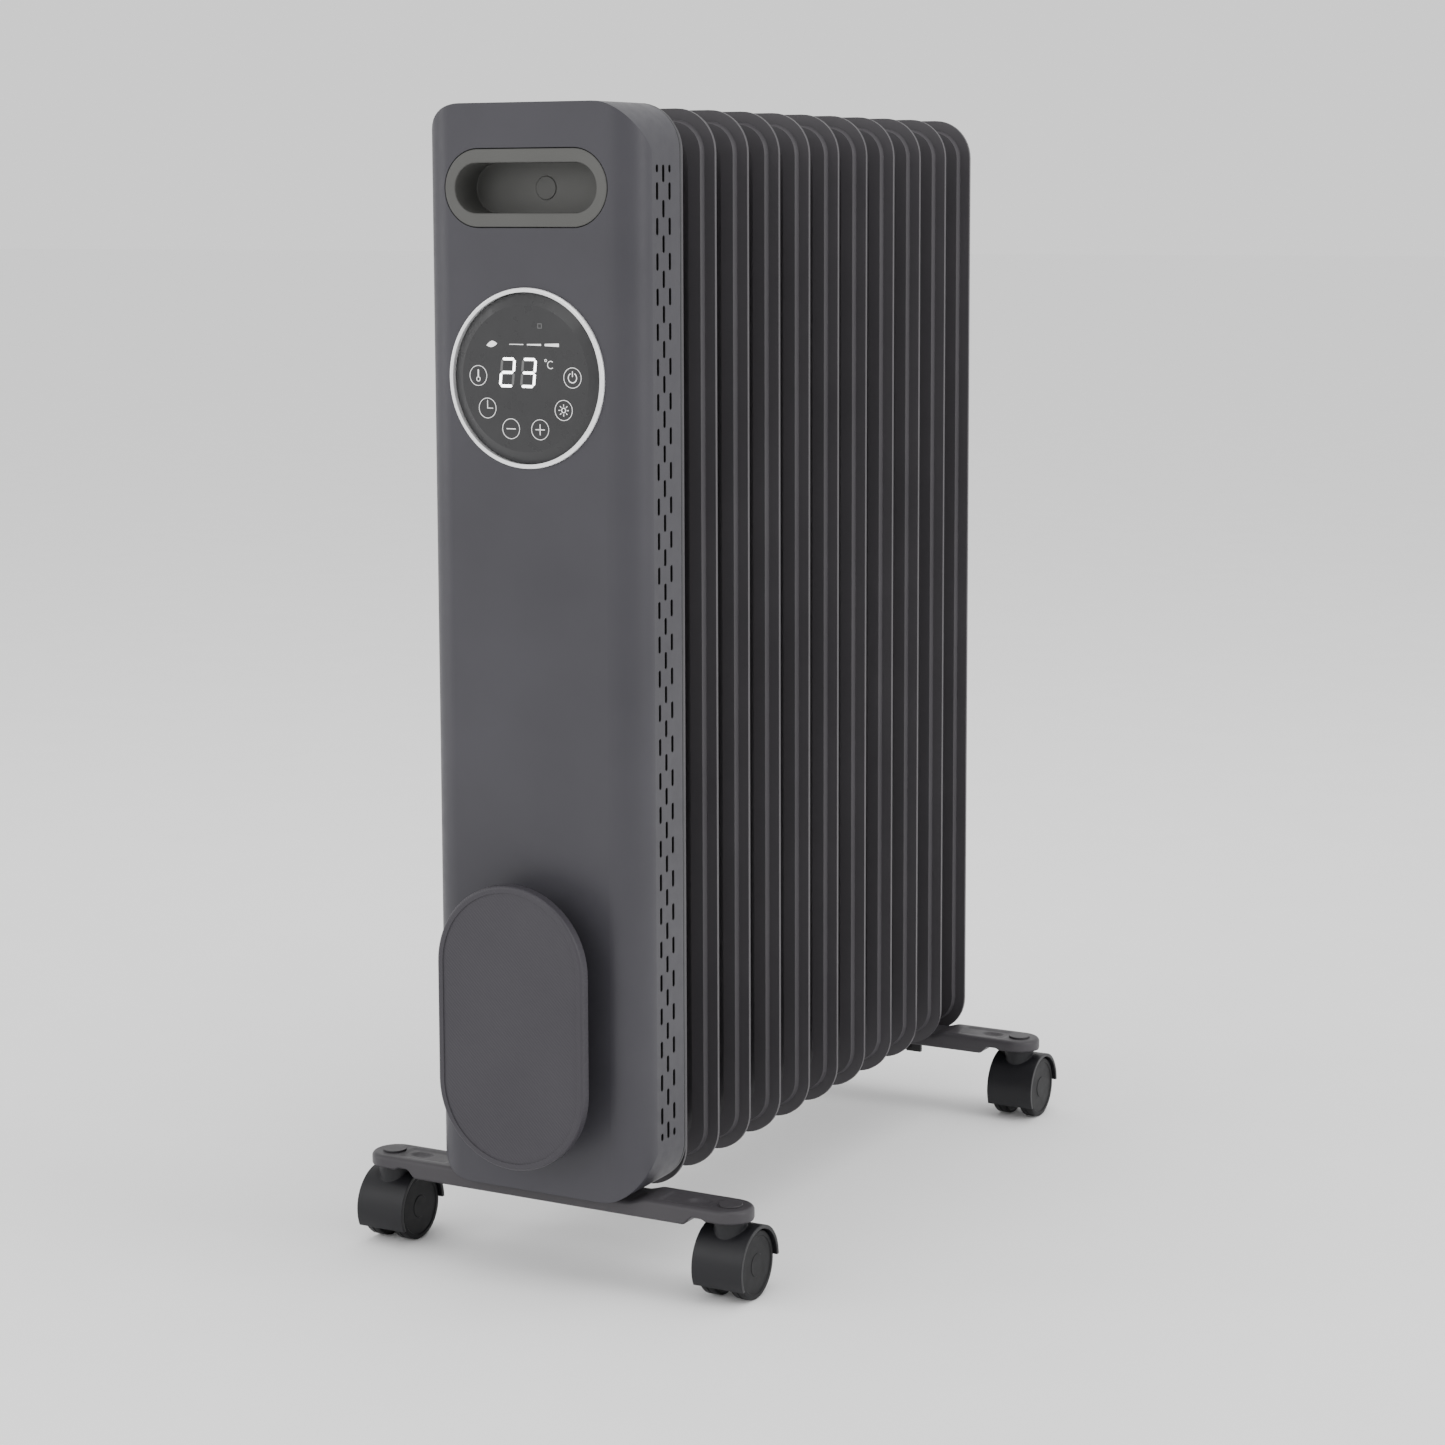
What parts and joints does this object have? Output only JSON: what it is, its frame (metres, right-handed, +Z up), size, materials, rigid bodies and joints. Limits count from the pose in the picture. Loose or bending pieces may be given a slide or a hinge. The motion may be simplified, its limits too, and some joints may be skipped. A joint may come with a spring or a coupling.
{
  "type": "oil filled radiator heater",
  "caption": "Upright oil filled radiator on casters: flat pressed fins behind a slim vented housing with a hand recess, a round display and a cord winding plate.",
  "frame": {"origin": "on the floor, at the centre of the bounding box's underside", "axes": "+Z up; -Y is the control panel's side; +X to the right of someone facing the control panel"},
  "size_m": [0.2416, 0.4626, 0.6244],
  "materials": {
    "fin_paint": "satin enamel",
    "housing_plastic": "satin moulded plastic",
    "panel_paint": "satin enamel",
    "cord_plate_plastic": "finely textured plastic with a smooth rim",
    "grip_plastic": "satin moulded plastic",
    "ring_chrome": "bright satin chrome",
    "lens_plastic": "polished, smoked",
    "foot_plastic": "satin moulded plastic",
    "caster_plastic": "moulded plastic",
    "board": "lacquered circuit board",
    "component_plastic": "moulded plastic",
    "rubber": "plain",
    "steel": "zinc plated"
  },
  "bodies": {
    "heater": {"cord_gland": "rubber", "cord_hub": "cord_plate_plastic", "cord_plate": "cord_plate_plastic", "cover_screws": "steel", "display_board": "board", "display_lens": "lens_plastic", "display_ring": "ring_chrome", "element_flange": "steel", "fill_plug": "steel", "fin_01": "fin_paint", "fin_02": "fin_paint", "fin_03": "fin_paint", "fin_04": "fin_paint", "fin_05": "fin_paint", "fin_06": "fin_paint", "fin_07": "fin_paint", "fin_08": "fin_paint", "fin_09": "fin_paint", "fin_10": "fin_paint", "fin_11": "fin_paint", "flange_bolts": "steel", "flange_gasket": "rubber", "foot_bar_front": "foot_plastic", "foot_bar_rear": "foot_plastic", "front_bar_screws": "steel", "front_cover": "housing_plastic", "grip_insert": "grip_plastic", "header_collars_bottom": "fin_paint", "header_collars_top": "fin_paint", "heating_element": "steel", "hub_screws": "steel", "led_module": "board", "power_board": "board", "power_switch": "component_plastic", "rear_header_caps": "fin_paint", "rear_panel": "panel_paint", "stem_caps": "foot_plastic", "temperature_sensor": "component_plastic", "thermal_cutout": "component_plastic", "tip_over_switch": "component_plastic", "u_bolt": "steel", "wing_nuts": "steel", "wiring_harness": "rubber"},
    "button": {"power_button": "grip_plastic"},
    "caster_front_left_swivel": {"caster_front_left_hood": "caster_plastic", "caster_front_left_pins": "steel"},
    "caster_front_left_wheel_left": {"caster_front_left_wheel_left": "caster_plastic"},
    "caster_front_left_wheel_right": {"caster_front_left_wheel_right": "caster_plastic"},
    "caster_front_right_swivel": {"caster_front_right_hood": "caster_plastic", "caster_front_right_pins": "steel"},
    "caster_front_right_wheel_left": {"caster_front_right_wheel_left": "caster_plastic"},
    "caster_front_right_wheel_right": {"caster_front_right_wheel_right": "caster_plastic"},
    "caster_rear_left_swivel": {"caster_rear_left_hood": "caster_plastic", "caster_rear_left_pins": "steel"},
    "caster_rear_left_wheel_left": {"caster_rear_left_wheel_left": "caster_plastic"},
    "caster_rear_left_wheel_right": {"caster_rear_left_wheel_right": "caster_plastic"},
    "caster_rear_right_swivel": {"caster_rear_right_hood": "caster_plastic", "caster_rear_right_pins": "steel"},
    "caster_rear_right_wheel_left": {"caster_rear_right_wheel_left": "caster_plastic"},
    "caster_rear_right_wheel_right": {"caster_rear_right_wheel_right": "caster_plastic"}
  },
  "joints": [
    {"name": "power_button_press", "type": "slide", "parent": "heater", "child": "button", "axis": [0, 1, 0], "range_m": [0, 0.0025], "stiffness_N_per_m": 400},
    {"name": "caster_front_left_swivel", "type": "hinge", "parent": "heater", "child": "caster_front_left_swivel", "pos_m": [-0.106, -0.18375, 0.03], "axis": [0, 0, 1], "continuous": true},
    {"name": "caster_front_left_wheel_left_spin", "type": "hinge", "parent": "caster_front_left_swivel", "child": "caster_front_left_wheel_left", "pos_m": [-0.115, -0.17875, 0.0185], "axis": [1, 0, 0], "continuous": true},
    {"name": "caster_front_left_wheel_right_spin", "type": "hinge", "parent": "caster_front_left_swivel", "child": "caster_front_left_wheel_right", "pos_m": [-0.097, -0.17875, 0.0185], "axis": [1, 0, 0], "continuous": true},
    {"name": "caster_front_right_swivel", "type": "hinge", "parent": "heater", "child": "caster_front_right_swivel", "pos_m": [0.106, -0.18375, 0.03], "axis": [0, 0, 1], "continuous": true},
    {"name": "caster_front_right_wheel_left_spin", "type": "hinge", "parent": "caster_front_right_swivel", "child": "caster_front_right_wheel_left", "pos_m": [0.097, -0.17875, 0.0185], "axis": [1, 0, 0], "continuous": true},
    {"name": "caster_front_right_wheel_right_spin", "type": "hinge", "parent": "caster_front_right_swivel", "child": "caster_front_right_wheel_right", "pos_m": [0.115, -0.17875, 0.0185], "axis": [1, 0, 0], "continuous": true},
    {"name": "caster_rear_left_swivel", "type": "hinge", "parent": "heater", "child": "caster_rear_left_swivel", "pos_m": [-0.106, 0.20047, 0.03], "axis": [0, 0, 1], "continuous": true},
    {"name": "caster_rear_left_wheel_left_spin", "type": "hinge", "parent": "caster_rear_left_swivel", "child": "caster_rear_left_wheel_left", "pos_m": [-0.115, 0.20547, 0.0185], "axis": [1, 0, 0], "continuous": true},
    {"name": "caster_rear_left_wheel_right_spin", "type": "hinge", "parent": "caster_rear_left_swivel", "child": "caster_rear_left_wheel_right", "pos_m": [-0.097, 0.20547, 0.0185], "axis": [1, 0, 0], "continuous": true},
    {"name": "caster_rear_right_swivel", "type": "hinge", "parent": "heater", "child": "caster_rear_right_swivel", "pos_m": [0.106, 0.20047, 0.03], "axis": [0, 0, 1], "continuous": true},
    {"name": "caster_rear_right_wheel_left_spin", "type": "hinge", "parent": "caster_rear_right_swivel", "child": "caster_rear_right_wheel_left", "pos_m": [0.097, 0.20547, 0.0185], "axis": [1, 0, 0], "continuous": true},
    {"name": "caster_rear_right_wheel_right_spin", "type": "hinge", "parent": "caster_rear_right_swivel", "child": "caster_rear_right_wheel_right", "pos_m": [0.115, 0.20547, 0.0185], "axis": [1, 0, 0], "continuous": true}
  ]
}
